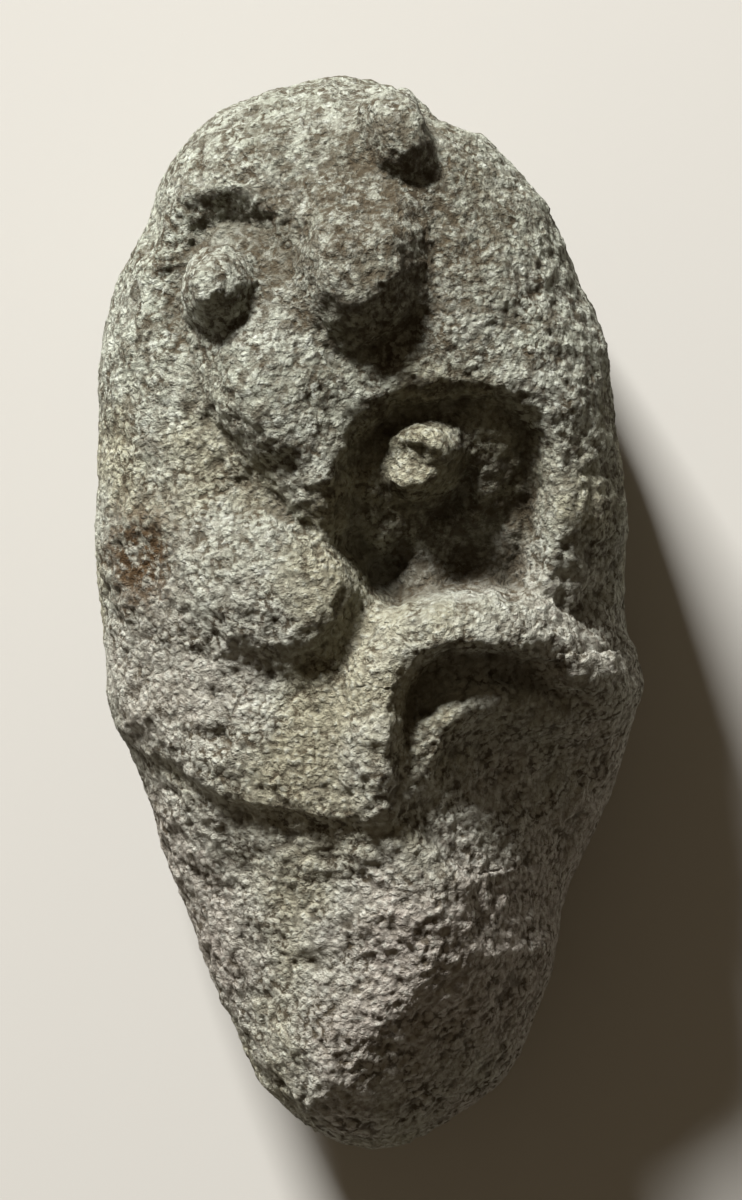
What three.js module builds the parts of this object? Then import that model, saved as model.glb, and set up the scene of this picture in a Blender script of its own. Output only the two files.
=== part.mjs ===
// A boulder pecked into a squat figure with knob eyes, a blunt nose, a round mouth and folded arms.
// Millimetres. The stone lies on its back: X across it, Y towards the head, Z up from back to face.
import * as THREE from "three";
import { mergeVertices } from "three/addons/utils/BufferGeometryUtils.js";

const { smoothstep, degToRad, clamp, lerp } = THREE.MathUtils;

// The stone seen from the front: its two ends and the edges between them, head to foot.
const HEAD_END = [-15, 225];
const FOOT_END = [6, -225];
const LEFT_EDGE = [
  [-57, 211], [-83, 186], [-95, 156], [-106, 133], [-112, 92], [-111.5, 40],
  [-110, -5], [-104.5, -40], [-91, -79], [-75, -126], [-58, -167], [-38, -205],
];
const RIGHT_EDGE = [
  [18, 217.5], [33, 204], [55, 192], [79, 158], [99, 108], [105.5, 48],
  [108.5, -4], [112, -36], [103.5, -79], [86, -118], [75, -158], [53, -199],
];

// The widest line runs this far above the flat spot the stone rests on.
const RIM_HEIGHT = 66;

// Cross-sections, as [place from head 0 to foot 1, value]: how far the front and the back swell as a
// share of the half width, how square each side is, and how far the keel of the legs leans right.
const FRONT_SWELL = [
  [0, 0.9], [0.12, 0.97], [0.2, 0.92], [0.3, 0.83], [0.45, 0.76], [0.6, 0.77], [0.69, 0.86],
  [0.77, 0.97], [0.85, 1.02], [0.92, 1], [1, 1.05],
];
const BACK_SWELL = [[0, 0.75], [0.2, 0.68], [0.5, 0.64], [0.8, 0.68], [1, 0.75]];
const LEFT_SQUARENESS = [
  [0, 2.4], [0.15, 2.9], [0.5, 2.9], [0.62, 2.3], [0.75, 1.7], [0.9, 1.7], [1, 2],
];
const RIGHT_SQUARENESS = [
  [0, 2.4], [0.15, 3.3], [0.3, 3.8], [0.47, 4.2], [0.56, 2.2], [0.65, 1.6], [0.9, 1.7], [1, 2],
];
const KEEL_LEAN = [
  [0, 0], [0.45, 0], [0.58, 0.05], [0.69, 0.08], [0.75, 0.26], [0.81, 0.25],
  [0.865, -0.08], [0.92, -0.35], [1, -0.25],
];

// A section squarer than 2 is boxy. Below 2 it is keeled, but only this far down from the crest.
const KEEL_REACH = 0.7;

// The head stands proud of the stone as a tilted oval that runs out softly on its right.
const HEAD = { x: -5.5, y: 122, rx: 66, ry: 100, tilt: 28, square: 2.2, rise: 12, inner: 0.7, outer: 1.08 };
const HEAD_SOFT_SIDE = { reach: 45, inner: 0.1, outer: 0.6, endsFrom: 30, endsAt: 80 };
const HEAD_GROOVE = { depth: 2.2, place: 1.07, width: 0.06 };
const HEAD_NOTCH = { x: 37, y: 198, radius: 13 };

// The hollow of the lower face sinks from a ledge under the cheeks to the neck.
const HOLLOW_LEFT = { x: 36, y: 44, rx: 52, ry: 48, square: 2.6 };
const HOLLOW_RIGHT = { x: 36, y: 44, rx: 40, ry: 48, square: 2.7 };
const HOLLOW_EDGE = 1.04;
const HOLLOW_DEPTH = [[0, 20], [45, 24], [92, 12]];
const HOLLOW_SOFTNESS = [[-14, 0.72], [26, 0.84], [40, 0.86], [60, 0.88], [75, 0.88]];

// The arch of the hand stands whole in the hollow where it is at least this high.
const ARCH_FULL = 11;

// The slope that falls away under the arched hand, towards the legs; it starts further right there.
const PALM_LEFT = [8, 17];
const PALM_RIGHT = [84, 112];
const PALM_FALL = [[-150, 0], [-95, -6], [-60, -6], [-34, -5], [-20, -2], [-12, 0]];
const PALM_SHIFT = [[-110, 34], [-84, 0]];

// Rounded swellings and, where the rise is negative, rounded dips.
const KNOBS = {
  rightEyeMound: { x: 8, y: 189, rx: 16, ry: 14, rise: 5, power: 1.2 },
  leftEye: { x: -60, y: 132, rx: 17, ry: 18, rise: 11, power: 0.7 },
  leftCheek: { x: -36, y: 88, rx: 27, ry: 32, rise: 8, power: 1.2 },
  chestBulge: { x: -40, y: 18, rx: 38, ry: 36, rise: 6, power: 1.2 },
  mouth: { x: 24.5, y: 61, rx: 18, ry: 18.5, rise: 25, power: 0.9 },
  mouthPit: { x: 19, y: 61, rx: 12.5, ry: 10, rise: -12, power: 1.2 },
  rightShoulder: { x: 92, y: 50, rx: 30, ry: 62, rise: 2, power: 1.2 },
  rightElbow: { x: 92, y: -28, rx: 26, ry: 30, rise: 8, power: 1.2 },
  rightFlank: { x: 66, y: -92, rx: 48, ry: 50, rise: -8, power: 1.2 },
  forearmPit: { x: -58, y: -50, rx: 10, ry: 8, rise: -3, power: 1.5 },
  shoulderDip: { x: -89, y: 23, rx: 16, ry: 17, rise: -3.5, power: 1.2 },
  crownPit: { x: 8, y: 209, rx: 6.5, ry: 5, rise: -3, power: 1.5 },
};

// Wedges climb along their aim to a blunt edge at x, y and fall away in a round end.
const WEDGES = {
  leftEyeEdge: { x: -58.5, y: 128, aim: -66, ramp: 18, drop: 16, half: 16.5, rise: 8, flat: 0.2 },
  rightEye: { x: 15, y: 184, aim: -63, ramp: 34, drop: 13, half: 12, rise: 16, flat: 0.5 },
  nose: { x: -2, y: 138, aim: -94, ramp: 46, drop: 38, half: 30, rise: 24, flat: 0.35 },
};

// Bands follow a path of [x, y, rise]: rounded on the left of the path, steep on its right.
const BAND_STEPS = 48;
const SIDE_BLEND = 0.5;
const BANDS = {
  leftSocket: {
    path: [
      [-31, 142, 0], [-39, 154, -10], [-52, 161, -15], [-67, 158, -14],
      [-78, 144, -10], [-81, 126, -7], [-76, 106, 0],
    ],
    left: 20, right: 9, power: 1,
  },
  noseGroove: {
    path: [[-27, 170, 0], [-28, 146, -3], [-20, 120, -3], [-8, 100, 0]],
    left: 7, right: 7, power: 1,
  },
  jawGroove: {
    path: [[-68, 54, 0], [-51, 47, -3], [-30, 37, -4], [-8, 25, -4], [4, 16, 0]],
    left: 11, right: 11, power: 1.2,
  },
  jaw: {
    path: [[-58, 104, 0], [-44, 76, 5], [-28, 55, 5], [-6, 40, 0]],
    left: 25, right: 25, power: 1.5,
  },
  chest: {
    path: [
      [-102, 14, 0], [-76, 5, 3], [-54, -6, 7], [-33, -9, 9], [-19, 0, 9], [-11, 17, 7], [0, 33, 0],
    ],
    left: 52, right: 27, power: 1,
  },
  chestGroove: {
    path: [
      [-74, -8, 0], [-51, -18, -2], [-31, -25, -2], [-14, -22, -3],
      [-5, -8, -5], [3, 6, -8], [12, 18, -9], [24, 30, 0],
    ],
    left: 12, right: 12, power: 1.2,
  },
  forearms: {
    path: [
      [-104, -50, 0], [-79, -60, 3], [-52, -73, 4], [-24, -79, 4], [0, -81, 4], [14, -80, 2], [24, -78, 0],
    ],
    left: 40, right: 5.5, power: 0.7,
  },
  handArch: {
    path: [
      [14, -88, 0], [10, -56, 8], [11, -34, 13], [24, -15, 15],
      [49, -9, 15], [68, -15, 13], [81, -26, 9], [90, -42, 0],
    ],
    left: 21, right: 8, power: 0.8,
  },
  innerHand: {
    path: [[22, -64, 0], [30, -48, 6], [43, -38, 8], [58, -37, 8], [74, -44, 6], [92, -56, 0]],
    left: 10, right: 14, power: 1,
  },
  rightArmGroove: {
    path: [[97, 90, 0], [98, 47, -2], [97, 18, -3], [92, 4, -4], [86, -8, -3], [86, -20, 0]],
    left: 8, right: 8, power: 1,
  },
};

// Slow unevenness of the stone: short waves on the pecked front, long ones all over.
const PECKED_WAVE = { rise: 0.9, across: 9.4, along: 11, acrossDrift: 15, alongDrift: 12.7, bend: 1.2 };
const BOULDER_WAVE = { rise: 1.4, across: 17, along: 21, acrossDrift: 31, alongDrift: 37, bend: 1.5 };

// The carving fades out where the surface turns from the face to the back.
const FACE_FADE = [-0.1, 0.3];

// Pecking has worn every carved edge round: heights are the mean over a spot of this radius.
const EDGE_ROUNDING = 4.2;
const EDGE_SAMPLES = 10;

// Facets of the surface: rows as [share of the rows, place], columns over the front and the back.
const ROWS = 72;
const ROW_PLACES = [
  [0, 0], [0.07, 0.09], [0.16, 0.22], [0.33, 0.385], [0.6, 0.54], [0.8, 0.7], [0.9, 0.82], [1, 1],
];
const FRONT_COLUMNS = 55;
const BACK_COLUMNS = 14;
const FLANK_WEIGHT = 0.5;
const SECTION_STEPS = 400;
const SLOPE_STEP = 0.002;

const STONE_COLOUR = 0x8f8b7f;

// The value at a place in a table of [place, value], in straight runs between the entries.
function along(table, place) {
  let before = table[0];
  for (const entry of table) {
    if (entry[0] >= place) {
      const span = entry[0] - before[0];
      return span > 0 ? lerp(before[1], entry[1], (place - before[0]) / span) : entry[1];
    }
    before = entry;
  }
  return before[1];
}

// The distance from a centre in units of the oval's own radius.
function ovalRadius(x, y, { x: middleX, y: middleY, rx, ry, tilt = 0, square = 2 }) {
  const turn = degToRad(tilt);
  const a = (x - middleX) * Math.cos(turn) + (y - middleY) * Math.sin(turn);
  const b = (y - middleY) * Math.cos(turn) - (x - middleX) * Math.sin(turn);
  return (Math.abs(a / rx) ** square + Math.abs(b / ry) ** square) ** (1 / square);
}

function knobHeight(x, y, knob) {
  const radius = Math.min(ovalRadius(x, y, knob), 1);
  return knob.rise * (1 - radius * radius) ** knob.power;
}

function wedgeHeight(x, y, wedge) {
  const turn = degToRad(wedge.aim);
  const forward = (x - wedge.x) * Math.cos(turn) + (y - wedge.y) * Math.sin(turn);
  const across = (y - wedge.y) * Math.cos(turn) - (x - wedge.x) * Math.sin(turn);
  const radius = Math.hypot(Math.max(forward, 0) / wedge.drop, across / wedge.half);
  const climb = 1 - smoothstep(-forward, 0, wedge.ramp);
  return wedge.rise * climb * (1 - smoothstep(radius, wedge.flat, 1));
}

function bandLine(band) {
  const points = band.path.map(([x, y, rise]) => new THREE.Vector3(x, y, rise));
  return new THREE.CatmullRomCurve3(points, false, "catmullrom", 0.5).getPoints(BAND_STEPS);
}

function bandHeight(x, y, band, line) {
  let height = 0;
  for (let i = 0; i < BAND_STEPS; i += 1) {
    const start = line[i];
    const runX = line[i + 1].x - start.x;
    const runY = line[i + 1].y - start.y;
    const run = Math.hypot(runX, runY);
    const share = clamp(((x - start.x) * runX + (y - start.y) * runY) / (run * run), 0, 1);
    const offX = x - start.x - share * runX;
    const offY = y - start.y - share * runY;
    const distance = Math.hypot(offX, offY);
    const side = distance > 0 ? (runX * offY - runY * offX) / (run * distance) : 0;
    const leftness = smoothstep(side, -SIDE_BLEND, SIDE_BLEND);
    const reach = Math.min(distance / lerp(band.right, band.left, leftness), 1);
    const profile = lerp(1 - smoothstep(reach, 0, 1), (1 - reach * reach) ** band.power, leftness);
    const here = lerp(start.z, line[i + 1].z, share) * profile;
    if (Math.abs(here) > Math.abs(height)) height = here;
  }
  return height;
}

function headHeight(x, y) {
  const radius = ovalRadius(x, y, HEAD);
  const turn = degToRad(HEAD.tilt);
  const across = (x - HEAD.x) * Math.cos(turn) + (y - HEAD.y) * Math.sin(turn);
  const up = (y - HEAD.y) * Math.cos(turn) - (x - HEAD.x) * Math.sin(turn);
  const side = smoothstep(across, 0, HEAD_SOFT_SIDE.reach);
  const soft = side * (1 - smoothstep(up, HEAD_SOFT_SIDE.endsFrom, HEAD_SOFT_SIDE.endsAt));
  const inner = HEAD.inner - HEAD_SOFT_SIDE.inner * soft;
  const outer = HEAD.outer + HEAD_SOFT_SIDE.outer * soft;
  const notchRadius = Math.hypot(x - HEAD_NOTCH.x, y - HEAD_NOTCH.y) / HEAD_NOTCH.radius;
  const groove = Math.exp(-(((radius - HEAD_GROOVE.place) / HEAD_GROOVE.width) ** 2));
  const grooved = Math.exp(-notchRadius * notchRadius) + 1 - soft;
  return HEAD.rise * (1 - smoothstep(radius, inner, outer)) - HEAD_GROOVE.depth * grooved * groove;
}

function hollowHeight(x, y) {
  const oval = x < HOLLOW_LEFT.x ? HOLLOW_LEFT : HOLLOW_RIGHT;
  const open = 1 - smoothstep(ovalRadius(x, y, oval), along(HOLLOW_SOFTNESS, x), HOLLOW_EDGE);
  return -along(HOLLOW_DEPTH, y) * open;
}

function palmHeight(x, y) {
  const left = smoothstep(x - along(PALM_SHIFT, y), PALM_LEFT[0], PALM_LEFT[1]);
  return along(PALM_FALL, y) * left * (1 - smoothstep(x, PALM_RIGHT[0], PALM_RIGHT[1]));
}

function waveHeight(x, y, wave) {
  const across = Math.sin(x / wave.across + wave.bend * Math.sin(y / wave.alongDrift));
  return wave.rise * across * Math.sin(y / wave.along + wave.bend * Math.sin(x / wave.acrossDrift));
}

const bandLines = new Map(Object.values(BANDS).map((band) => [band, bandLine(band)]));

// Everything carved on the front, as a height over the plain boulder.
function carvedHeight(x, y) {
  const arch = bandHeight(x, y, BANDS.handArch, bandLines.get(BANDS.handArch));
  let height = headHeight(x, y) + hollowHeight(x, y) * (1 - clamp(arch / ARCH_FULL, 0, 1));
  height += palmHeight(x, y) + waveHeight(x, y, PECKED_WAVE);
  for (const knob of Object.values(KNOBS)) height += knobHeight(x, y, knob);
  for (const wedge of Object.values(WEDGES)) height += wedgeHeight(x, y, wedge);
  for (const [band, line] of bandLines) height += bandHeight(x, y, band, line);
  return height;
}

// The carved height with its edges worn round.
function wornHeight(x, y) {
  let sum = carvedHeight(x, y);
  for (let i = 0; i < EDGE_SAMPLES; i += 1) {
    const angle = (2 * Math.PI * i) / EDGE_SAMPLES;
    sum += carvedHeight(x + EDGE_ROUNDING * Math.cos(angle), y + EDGE_ROUNDING * Math.sin(angle));
  }
  return sum / (EDGE_SAMPLES + 1);
}

const ring = [HEAD_END, ...LEFT_EDGE, FOOT_END, ...RIGHT_EDGE.slice().reverse()];
const outline = new THREE.CatmullRomCurve3(
  ring.map(([x, y]) => new THREE.Vector3(x, y, RIM_HEIGHT)), true, "catmullrom", 0.5,
);

// A point of the plain boulder: turn 0 to 0.5 crosses the front left to right, 0.5 to 1 the back;
// place runs from the head, 0, to the foot, 1.
function boulderPoint(turn, place) {
  const left = outline.getPoint(place / 2);
  const right = outline.getPoint((1 - place / 2) % 1);
  const angle = Math.PI * (1 - 2 * turn);
  const front = Math.sin(angle) > 0;
  const square = along(Math.cos(angle) < 0 ? LEFT_SQUARENESS : RIGHT_SQUARENESS, place);
  const keel = front ? smoothstep(Math.abs(Math.sin(angle)), 0, KEEL_REACH) : 0;
  const power = 2 / (Math.max(square, 2) + Math.min(square - 2, 0) * keel);
  const rise = Math.abs(Math.sin(angle)) ** power;
  const lean = front ? along(KEEL_LEAN, place) * rise * rise : 0;
  const across = Math.sign(Math.cos(angle)) * Math.abs(Math.cos(angle)) ** power + lean;
  const swell = front ? along(FRONT_SWELL, place) : -along(BACK_SWELL, place);
  const point = left.clone().lerp(right, 0.5 + across / 2);
  point.z += left.distanceTo(right) * 0.5 * swell * rise;
  return point;
}

function boulderNormal(turn, place) {
  const aroundOne = boulderPoint((turn + 1 - SLOPE_STEP) % 1, place);
  const aroundTwo = boulderPoint((turn + SLOPE_STEP) % 1, place);
  const downOne = boulderPoint(turn, Math.max(place - SLOPE_STEP, 0));
  const downTwo = boulderPoint(turn, Math.min(place + SLOPE_STEP, 1));
  return downTwo.sub(downOne).cross(aroundTwo.sub(aroundOne)).normalize();
}

function stonePoint(turn, place) {
  const point = boulderPoint(turn, place);
  const normal = boulderNormal(turn, place);
  const facing = smoothstep(normal.z, FACE_FADE[0], FACE_FADE[1]);
  const uneven = waveHeight(point.x, point.y, BOULDER_WAVE);
  point.addScaledVector(normal, wornHeight(point.x, point.y) * facing + uneven);
  point.z = Math.max(point.z, 0);
  return point;
}

// Turns spaced evenly over the front of the middle section, its steep flanks counted lightly.
function frontTurns() {
  const middle = 0.5;
  const lengths = [0];
  let last = boulderPoint(0, middle);
  for (let i = 1; i <= SECTION_STEPS; i += 1) {
    const next = boulderPoint((0.5 * i) / SECTION_STEPS, middle);
    const step = next.clone().sub(last);
    lengths.push(lengths[i - 1] + Math.hypot(step.x, step.y, FLANK_WEIGHT * step.z));
    last = next;
  }
  const table = lengths.map((length, i) => [length / lengths[SECTION_STEPS], (0.5 * i) / SECTION_STEPS]);
  return Array.from({ length: FRONT_COLUMNS }, (_, column) => along(table, column / FRONT_COLUMNS));
}

function backTurns() {
  return Array.from({ length: BACK_COLUMNS }, (_, column) => 0.5 + (0.5 * column) / BACK_COLUMNS);
}

function stoneGeometry() {
  const turns = [...frontTurns(), ...backTurns(), 0];
  const sphere = new THREE.SphereGeometry(1, FRONT_COLUMNS + BACK_COLUMNS, ROWS);
  const position = sphere.getAttribute("position");
  for (let i = 0; i < position.count; i += 1) {
    const place = along(ROW_PLACES, Math.floor(i / turns.length) / ROWS);
    const point = stonePoint(turns[i % turns.length], place);
    position.setXYZ(i, point.x, point.y, point.z);
  }
  sphere.deleteAttribute("normal");
  sphere.deleteAttribute("uv");
  const closed = mergeVertices(sphere, 0.001);
  closed.computeBoundingBox();
  const middle = closed.boundingBox.getCenter(new THREE.Vector3());
  closed.translate(-middle.x, -middle.y, 0);
  closed.computeVertexNormals();
  return closed;
}

const stone = new THREE.Mesh(
  stoneGeometry(),
  new THREE.MeshStandardMaterial({ color: STONE_COLOUR, roughness: 0.95, metalness: 0 }),
);
stone.name = "stone_figure";

const part = new THREE.Group();
part.name = "carved_boulder_figure";
part.add(stone);

export default part;
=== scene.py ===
"""A boulder pecked into a squat figure, lying on its back, and the plain studio around it."""

import logging
import math
from dataclasses import dataclass, field
from enum import Enum
from typing import Any

import bpy
import numpy as np
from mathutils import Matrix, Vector


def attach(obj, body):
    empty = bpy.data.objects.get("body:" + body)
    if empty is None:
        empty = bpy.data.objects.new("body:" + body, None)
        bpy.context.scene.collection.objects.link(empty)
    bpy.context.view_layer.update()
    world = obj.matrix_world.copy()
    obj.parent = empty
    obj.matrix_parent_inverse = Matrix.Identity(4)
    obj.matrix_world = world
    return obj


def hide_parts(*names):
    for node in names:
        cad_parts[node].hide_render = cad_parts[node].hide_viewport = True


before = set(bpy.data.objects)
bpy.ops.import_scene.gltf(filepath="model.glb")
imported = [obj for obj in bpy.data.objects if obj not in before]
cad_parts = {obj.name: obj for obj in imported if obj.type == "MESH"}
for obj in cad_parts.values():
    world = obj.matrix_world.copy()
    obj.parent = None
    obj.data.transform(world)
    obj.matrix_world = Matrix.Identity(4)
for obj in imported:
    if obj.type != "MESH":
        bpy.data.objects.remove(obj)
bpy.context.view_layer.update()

LOG = logging.getLogger("pecked_boulder_figure")
MM = 0.001
TINY = 1e-6

Array = np.ndarray
Table = tuple[tuple[float, float], ...]
Point2 = tuple[float, float]
Point3 = tuple[float, float, float]
Colour = tuple[float, float, float, float]


def linear(hex_colour: int) -> Colour:
    """Turn an sRGB hex colour into linear light.

    Args:
        hex_colour: the colour as 0xRRGGBB.

    Returns:
        Red, green, blue and an alpha of one.
    """
    channels = []
    for shift in (16, 8, 0):
        value = ((hex_colour >> shift) & 255) / 255
        channels.append(value / 12.92 if value <= 0.04045 else ((value + 0.055) / 1.055) ** 2.4)
    return (channels[0], channels[1], channels[2], 1.0)


def add_node(
    tree: bpy.types.NodeTree, kind: str, inputs: dict | None = None, **settings: Any
) -> bpy.types.Node:
    """Add a node to a tree, with its settings, values and links.

    Args:
        tree: the tree that gets the node.
        kind: the node's type name.
        inputs: socket name or number to a value, or to the output socket that feeds it.
        settings: properties of the node, set before its inputs.

    Returns:
        The new node.
    """
    node = tree.nodes.new(kind)
    for name, value in settings.items():
        setattr(node, name, value)
    for key, value in (inputs or {}).items():
        if isinstance(value, bpy.types.NodeSocket):
            tree.links.new(value, node.inputs[key])
        else:
            node.inputs[key].default_value = value
    return node


def smooth(low: float | Array, high: float | Array, value: Array) -> Array:
    """Ease from 0 at low to 1 at high."""
    share = np.clip((value - low) / (high - low), 0.0, 1.0)
    return share * share * (3.0 - 2.0 * share)


def along(table: Table, place: Array) -> Array:
    """Read a table of places and values, in straight runs between its entries."""
    places, values = zip(*table)
    return np.interp(place, places, values)


def catmull(four: list[Array], share: Array) -> Array:
    """Point on a Catmull-Rom span.

    Args:
        four: the points before, at the start, at the end and after the span.
        share: how far along the span, 0 to 1, as a column.

    Returns:
        The points of the curve.
    """
    before, start, end, after = four
    square = share * share
    return 0.5 * (
        2 * start
        + (end - before) * share
        + (2 * before - 5 * start + 4 * end - after) * square
        + (3 * start - before - 3 * end + after) * square * share
    )


def closed_spline(points: list[Point2], places: Array) -> Array:
    """Read a closed curve through points.

    Args:
        points: the points it passes, in order.
        places: where to read it, counted in points.

    Returns:
        One point for each place.
    """
    ring = np.asarray(points, float)
    places = np.mod(places, len(ring))
    index = np.floor(places).astype(int)
    four = [ring[(index + k) % len(ring)] for k in (-1, 0, 1, 2)]
    return catmull(four, (places - index)[:, None])


def open_spline(points: tuple[Point3, ...], steps: int) -> Array:
    """Read an open curve through points.

    Args:
        points: the points it passes, in order.
        steps: how many straight steps it is read in.

    Returns:
        The ends of the steps, one more than there are steps.
    """
    row = np.asarray(points, float)
    row = np.vstack([2 * row[0] - row[1], row, 2 * row[-1] - row[-2]])
    places = np.linspace(0, len(points) - 1, steps + 1)
    index = np.minimum(np.floor(places).astype(int), len(points) - 2)
    return catmull([row[index + k] for k in range(4)], (places - index)[:, None])


@dataclass(frozen=True)
class Oval:
    """A tilted oval in the XY plane, in millimetres and degrees; square above 2 is boxier."""

    x: float
    y: float
    rx: float
    ry: float
    tilt: float = 0.0
    square: float = 2.0

    def axes(self, x: Array, y: Array) -> tuple[Array, Array]:
        """Turn places into offsets from the centre.

        Args:
            x: places across, in millimetres.
            y: places towards the head, in millimetres.

        Returns:
            Offsets along the oval's own two axes.
        """
        turn = math.radians(self.tilt)
        off_x, off_y = x - self.x, y - self.y
        return (
            off_x * math.cos(turn) + off_y * math.sin(turn),
            off_y * math.cos(turn) - off_x * math.sin(turn),
        )

    def radius(self, x: Array, y: Array) -> Array:
        """Measure distance from the centre.

        Args:
            x: places across, in millimetres.
            y: places towards the head, in millimetres.

        Returns:
            Distances in units of the oval's own radius.
        """
        a, b = self.axes(x, y)
        total = np.abs(a / self.rx) ** self.square + np.abs(b / self.ry) ** self.square
        return total ** (1 / self.square)


@dataclass(frozen=True)
class Knob:
    """A rounded swelling, or a dip where the rise is negative."""

    oval: Oval
    rise: float
    power: float = 1.5

    def height(self, x: Array, y: Array) -> Array:
        """Height over the plain stone, in millimetres."""
        radius = np.clip(self.oval.radius(x, y), 0, 1)
        return self.rise * (1 - radius * radius) ** self.power


@dataclass(frozen=True)
class Wedge:
    """A form that climbs along its aim to a blunt edge at x, y and falls away in a round end."""

    x: float
    y: float
    aim: float
    ramp: float
    drop: float
    half: float
    rise: float
    flat: float

    def height(self, x: Array, y: Array) -> Array:
        """Read the wedge.

        Args:
            x: places across, in millimetres.
            y: places towards the head, in millimetres.

        Returns:
            Heights over the plain stone, in millimetres.
        """
        turn = math.radians(self.aim)
        forward = (x - self.x) * math.cos(turn) + (y - self.y) * math.sin(turn)
        across = (y - self.y) * math.cos(turn) - (x - self.x) * math.sin(turn)
        radius = np.hypot(np.maximum(forward, 0) / self.drop, across / self.half)
        climb = 1 - smooth(0, self.ramp, -forward)
        return self.rise * climb * (1 - smooth(self.flat, 1.0, radius))


@dataclass(frozen=True)
class Band:
    """A form along a path of x, y and rise: rounded on the path's left, steep on its right."""

    path: tuple[Point3, ...]
    left: float
    right: float
    power: float = 1.0
    steps: int = 48
    side_blend: float = 0.5

    def height(self, x: Array, y: Array) -> Array:
        """Read the band at the step of its path that stands out most.

        Args:
            x: places across, in millimetres.
            y: places towards the head, in millimetres.

        Returns:
            Heights over the plain stone, in millimetres.
        """
        line = open_spline(self.path, self.steps)
        best = np.zeros(x.shape)
        for start, end in zip(line[:-1], line[1:]):
            run_x, run_y, run_rise = end - start
            run = math.hypot(run_x, run_y)
            share = np.clip(((x - start[0]) * run_x + (y - start[1]) * run_y) / run**2, 0, 1)
            off_x = x - start[0] - share * run_x
            off_y = y - start[1] - share * run_y
            distance = np.maximum(np.hypot(off_x, off_y), TINY)
            side = (run_x * off_y - run_y * off_x) / (run * distance)
            leftness = smooth(-self.side_blend, self.side_blend, side)
            reach = np.minimum(distance / (self.right + (self.left - self.right) * leftness), 1)
            rounded = (1 - reach * reach) ** self.power
            steep = 1 - smooth(0, 1, reach)
            here = (start[2] + run_rise * share) * (steep + (rounded - steep) * leftness)
            best = np.where(np.abs(here) > np.abs(best), here, best)
        return best


@dataclass(frozen=True)
class Wave:
    """Slow unevenness: two bent sine waves multiplied, lengths in millimetres per radian."""

    rise: float
    across: float
    along: float
    across_drift: float
    along_drift: float
    bend: float

    def height(self, x: Array, y: Array) -> Array:
        """Height over the plain stone, in millimetres."""
        first = np.sin(x / self.across + self.bend * np.sin(y / self.along_drift))
        return self.rise * first * np.sin(y / self.along + self.bend * np.sin(x / self.across_drift))


@dataclass(frozen=True)
class HeightField:
    """Heights on a square grid over the front of the stone, in millimetres."""

    low_x: float
    low_y: float
    step: float
    values: Array
    margin: float = 0.001

    def softened(self, spread: float) -> "HeightField":
        """The same field with its edges worn round.

        Args:
            spread: the standard deviation of the wear, in millimetres.

        Returns:
            A new field.
        """
        rows, columns = self.values.shape
        wave_y = np.fft.fftfreq(rows, self.step)[:, None]
        wave_x = np.fft.rfftfreq(columns, self.step)[None, :]
        keep = np.exp(-2 * (math.pi * spread) ** 2 * (wave_x**2 + wave_y**2))
        worn = np.fft.irfft2(np.fft.rfft2(self.values) * keep, self.values.shape)
        return HeightField(self.low_x, self.low_y, self.step, worn)

    def sample(self, x: Array, y: Array) -> Array:
        """Read the grid between its points.

        Args:
            x: places across, in millimetres.
            y: places towards the head, in millimetres.

        Returns:
            One height for each place.
        """
        rows, columns = self.values.shape
        across = np.clip((x - self.low_x) / self.step, 0, columns - 1 - self.margin)
        up = np.clip((y - self.low_y) / self.step, 0, rows - 1 - self.margin)
        i, j = across.astype(int), up.astype(int)
        a, b = across - i, up - j
        low = self.values[j, i] * (1 - a) + self.values[j, i + 1] * a
        high = self.values[j + 1, i] * (1 - a) + self.values[j + 1, i + 1] * a
        return low * (1 - b) + high * b


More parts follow.
